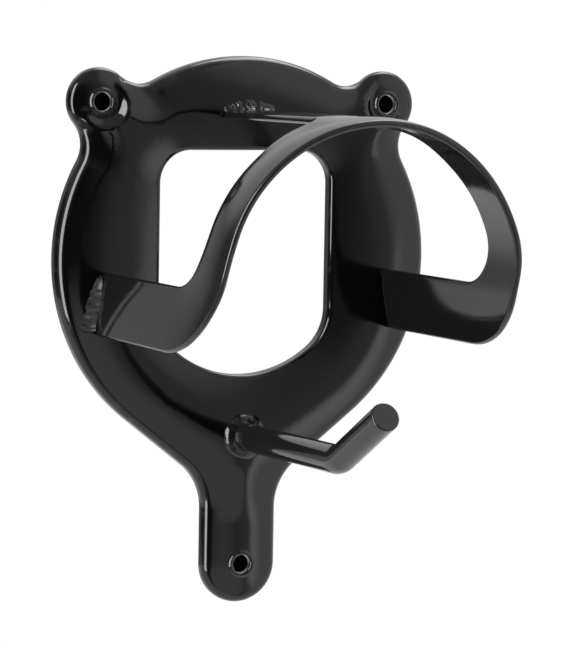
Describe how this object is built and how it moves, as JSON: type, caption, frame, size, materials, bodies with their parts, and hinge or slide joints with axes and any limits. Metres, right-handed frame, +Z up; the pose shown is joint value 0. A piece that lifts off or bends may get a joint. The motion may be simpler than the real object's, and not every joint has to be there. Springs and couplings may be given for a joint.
{
  "type": "bridle rack",
  "caption": "Wall-mounted bridle rack: a pressed back plate with a window carries a saddle-shaped arch for the headpiece and, below it, a round-bar hook for the reins.",
  "frame": {"origin": "midway between the lug screws, half-way through the straight walls of their holes; the wall is 4.7 mm behind it", "axes": "+X to the right of someone who faces the rack, +Y into the wall, +Z up; the arch and the hook reach out along -Y"},
  "size_m": [0.173, 0.1447, 0.2362],
  "materials": {
    "black_enamel": "gloss black enamel over steel, with a slight orange peel and small bare specks on the welds"
  },
  "bodies": {
    "root": {"back_plate": "black_enamel", "saddle_arch": "black_enamel", "rein_hook": "black_enamel", "left_arm_weld": "black_enamel", "right_arm_weld": "black_enamel", "crown_strap_weld": "black_enamel", "hook_weld": "black_enamel", "hook_back_weld": "black_enamel"}
  },
  "joints": []
}
